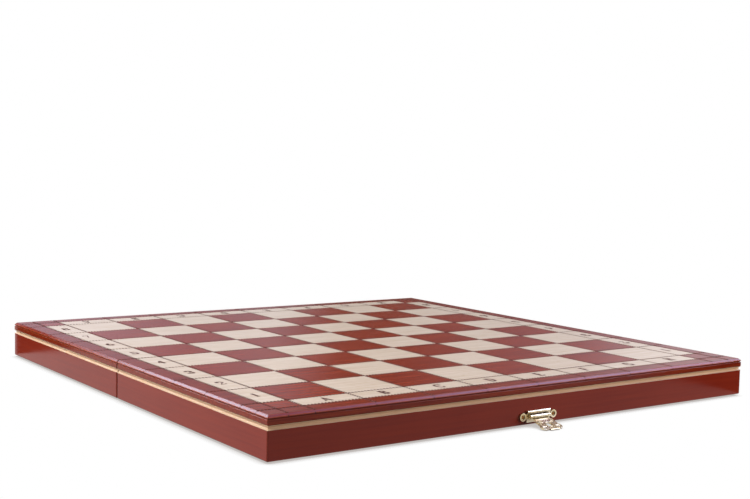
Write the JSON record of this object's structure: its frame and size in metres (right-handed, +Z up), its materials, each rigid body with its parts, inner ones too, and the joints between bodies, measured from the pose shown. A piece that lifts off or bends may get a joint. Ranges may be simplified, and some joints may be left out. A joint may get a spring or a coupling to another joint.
{
  "type": "folding chess board",
  "caption": "Square folding wooden chess board that lies open for play and folds shut, playing side out, into a latched box for the chessmen.",
  "frame": {"origin": "middle of the fold line, at the level of the rims that lie on the table", "axes": "+X along the files from a to h, +Y from the latch side to the far side, +Z up out of the playing field"},
  "size_m": [0.474, 0.4976, 0.0324],
  "materials": {
    "stained_wood": "red-brown stain, lacquered",
    "scored_panel": "natural and stained squares, lacquered",
    "pale_wood": "natural, lacquered",
    "brass": "pressed, plated",
    "felt": "felt"
  },
  "bodies": {
    "front_half": {"front_top_panel": "scored_panel", "front_end_wall": "stained_wood", "front_left_wall": "stained_wood", "front_right_wall": "stained_wood", "front_fold_wall": "stained_wood", "front_end_strip": "pale_wood", "front_left_strip": "pale_wood", "front_right_strip": "pale_wood", "front_fold_strip": "pale_wood", "front_lining": "felt", "front_hinge_screws": "brass", "left_hinge_front_leaf": "brass", "left_hinge_pin": "brass", "right_hinge_front_leaf": "brass", "right_hinge_pin": "brass", "latch_base": "brass", "latch_pin": "brass", "latch_nails": "brass"},
    "rear_half": {"rear_top_panel": "scored_panel", "rear_end_wall": "stained_wood", "rear_left_wall": "stained_wood", "rear_right_wall": "stained_wood", "rear_fold_wall": "stained_wood", "rear_end_strip": "pale_wood", "rear_left_strip": "pale_wood", "rear_right_strip": "pale_wood", "rear_fold_strip": "pale_wood", "rear_lining": "felt", "rear_hinge_screws": "brass", "left_hinge_rear_leaf": "brass", "right_hinge_rear_leaf": "brass", "catch_plate": "brass", "catch_nails": "brass"},
    "hasp": {"hasp": "brass"}
  },
  "joints": [
    {"name": "fold", "type": "hinge", "parent": "front_half", "child": "rear_half", "pos_m": [0, 0, -0.0001], "axis": [-1, 0, 0], "range_deg": [0, 180]},
    {"name": "hasp_swing", "type": "hinge", "parent": "front_half", "child": "hasp", "pos_m": [0, -0.23965, 0.0062], "axis": [1, 0, 0], "range_deg": [-95, 70]}
  ]
}
